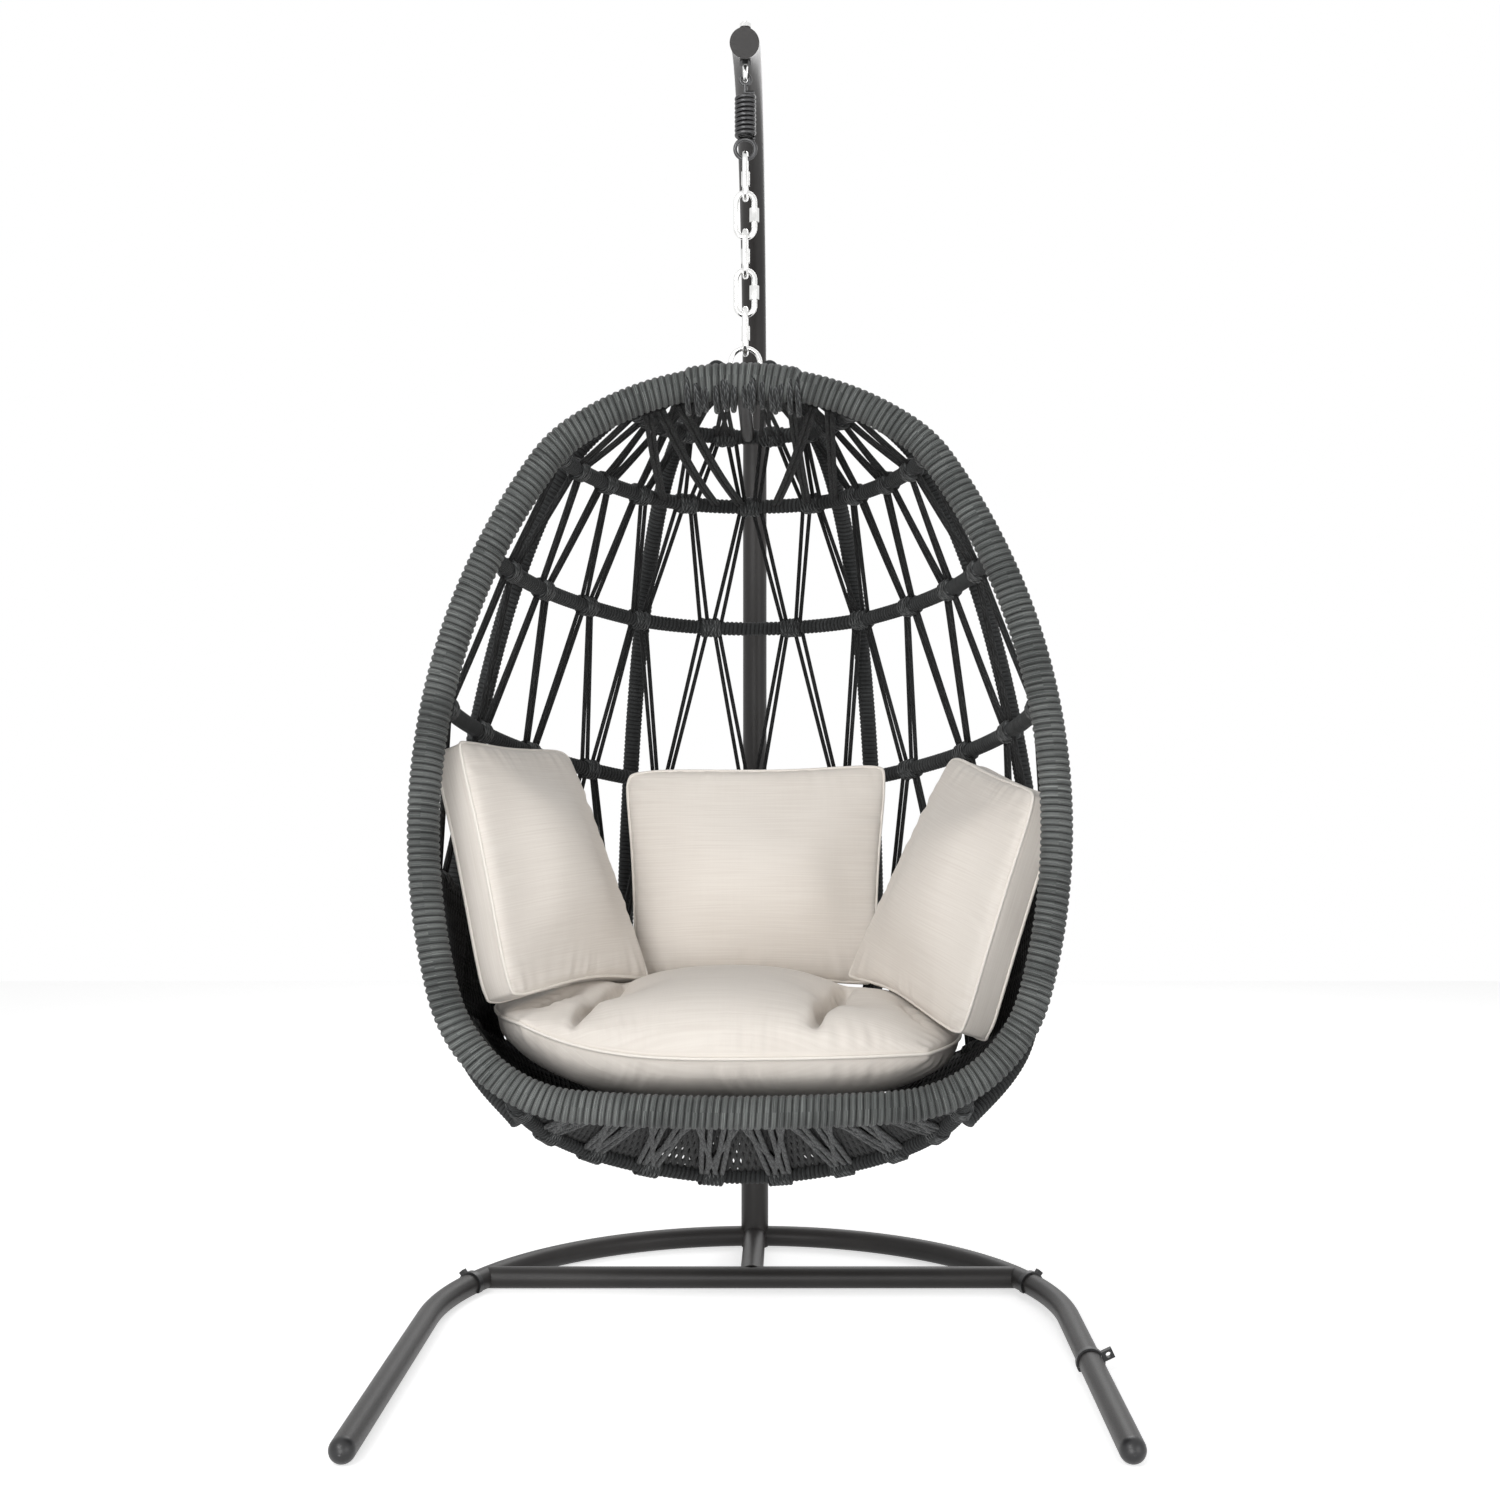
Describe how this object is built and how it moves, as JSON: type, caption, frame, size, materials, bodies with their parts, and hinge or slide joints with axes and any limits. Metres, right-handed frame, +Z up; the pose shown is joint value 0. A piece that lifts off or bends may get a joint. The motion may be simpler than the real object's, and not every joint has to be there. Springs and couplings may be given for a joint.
{
  "type": "hanging egg chair",
  "caption": "Hanging egg chair: roped openwork basket with loose cushions, hung by a spring and quick links from a tubular stand with an arched mast.",
  "frame": {"origin": "middle of the footprint, on the floor", "axes": "+Z up, -Y towards the open front of the basket, +X to the right as seen from the front"},
  "size_m": [1.0325, 1.0789, 1.938],
  "materials": {
    "powder_coat": "satin charcoal powder coat, fine texture",
    "black_plastic": "moulded black",
    "black_steel": "blackened",
    "zinc": "bright zinc plate",
    "rope": "grey wound synthetic rope",
    "linen": "plain woven off-white cloth"
  },
  "bodies": {
    "stand": {"rear_arc_left": "powder_coat", "rear_arc_right": "powder_coat", "base_spine": "powder_coat", "crossbar": "powder_coat", "left_leg": "powder_coat", "right_leg_rear": "powder_coat", "right_leg_front": "powder_coat", "foot_caps": "black_plastic", "clip_left": "black_plastic", "clip_right_rear": "black_plastic", "clip_right_front": "black_plastic", "leg_spigots": "zinc", "lower_mast": "powder_coat", "upper_mast": "powder_coat", "mast_bolt": "zinc", "mast_end_cap": "powder_coat", "hanger_bush": "powder_coat"},
    "eyebolt": {"eyebolt": "zinc", "eyebolt_locknut": "zinc", "eyebolt_lower_nut": "black_steel"},
    "spring": {"spring_top_hook": "black_steel", "spring_coil": "black_steel"},
    "spring_foot": {"spring_ring": "black_steel"},
    "link_1": {"quick_link_1": "zinc"},
    "link_2": {"quick_link_2": "zinc"},
    "link_3": {"quick_link_3": "zinc"},
    "link_4": {"quick_link_4": "zinc"},
    "link_5": {"quick_link_5": "zinc"},
    "sleeve_1": {"sleeve_nut_1": "zinc"},
    "sleeve_2": {"sleeve_nut_2": "zinc"},
    "sleeve_3": {"sleeve_nut_3": "zinc"},
    "sleeve_4": {"sleeve_nut_4": "zinc"},
    "sleeve_5": {"sleeve_nut_5": "zinc"},
    "basket": {"hanger_loop": "zinc", "hanger_plate": "powder_coat", "hanger_bar": "powder_coat", "rim_tube": "powder_coat", "rim_wrap": "rope", "hoop_1": "rope", "hoop_2": "rope", "hoop_3": "rope", "hoop_4": "rope", "hoop_5": "rope", "hoop_6": "rope", "hoop_7": "rope", "hoop_cores": "powder_coat", "rib_left_outer": "rope", "rib_left_inner": "rope", "rib_right_inner": "rope", "rib_right_outer": "rope", "knots": "rope", "net_roof": "rope", "net_upper": "rope", "net_middle": "rope", "net_lower": "rope", "net_floor": "rope", "seat_cushion": "linen", "back_pillow": "linen", "left_pillow": "linen", "right_pillow": "linen"}
  },
  "joints": [
    {"name": "eyebolt_swivel", "type": "hinge", "parent": "stand", "child": "eyebolt", "pos_m": [0, -0.14664, 1.9], "axis": [0, 0, 1], "range_deg": [-30, 30]},
    {"name": "spring_sway", "type": "hinge", "parent": "eyebolt", "child": "spring", "pos_m": [0, -0.14664, 1.8485], "axis": [0, 1, 0], "range_deg": [-3, 3]},
    {"name": "spring_stretch", "type": "slide", "parent": "spring", "child": "spring_foot", "axis": [0, 0, -1], "range_m": [0, 0.03], "stiffness_N_per_m": 20000, "springref_m": -0.02, "deforming": ["spring_coil"]},
    {"name": "link_1_rock", "type": "hinge", "parent": "spring_foot", "child": "link_1", "pos_m": [0, -0.14664, 1.73411], "axis": [1, 0, 0], "range_deg": [-7, 4]},
    {"name": "link_2_sway", "type": "hinge", "parent": "link_1", "child": "link_2", "pos_m": [0, -0.14664, 1.67731], "axis": [0, 1, 0], "range_deg": [-3, 3]},
    {"name": "link_3_rock", "type": "hinge", "parent": "link_2", "child": "link_3", "pos_m": [0, -0.14664, 1.62161], "axis": [1, 0, 0], "range_deg": [-7, 4]},
    {"name": "link_4_sway", "type": "hinge", "parent": "link_3", "child": "link_4", "pos_m": [0, -0.14664, 1.56591], "axis": [0, 1, 0], "range_deg": [-3, 3]},
    {"name": "link_5_rock", "type": "hinge", "parent": "link_4", "child": "link_5", "pos_m": [0, -0.14664, 1.51021], "axis": [1, 0, 0], "range_deg": [-7, 4]},
    {"name": "basket_sway", "type": "hinge", "parent": "link_5", "child": "basket", "pos_m": [0, -0.14664, 1.45451], "axis": [0, 1, 0], "range_deg": [-3, 3]},
    {"name": "sleeve_1_slide", "type": "slide", "parent": "link_1", "child": "sleeve_1", "axis": [0, 0, 1], "range_m": [0, 0.009]},
    {"name": "sleeve_2_slide", "type": "slide", "parent": "link_2", "child": "sleeve_2", "axis": [0, 0, 1], "range_m": [0, 0.009]},
    {"name": "sleeve_3_slide", "type": "slide", "parent": "link_3", "child": "sleeve_3", "axis": [0, 0, 1], "range_m": [0, 0.009]},
    {"name": "sleeve_4_slide", "type": "slide", "parent": "link_4", "child": "sleeve_4", "axis": [0, 0, 1], "range_m": [0, 0.009]},
    {"name": "sleeve_5_slide", "type": "slide", "parent": "link_5", "child": "sleeve_5", "axis": [0, 0, 1], "range_m": [0, 0.009]}
  ]
}
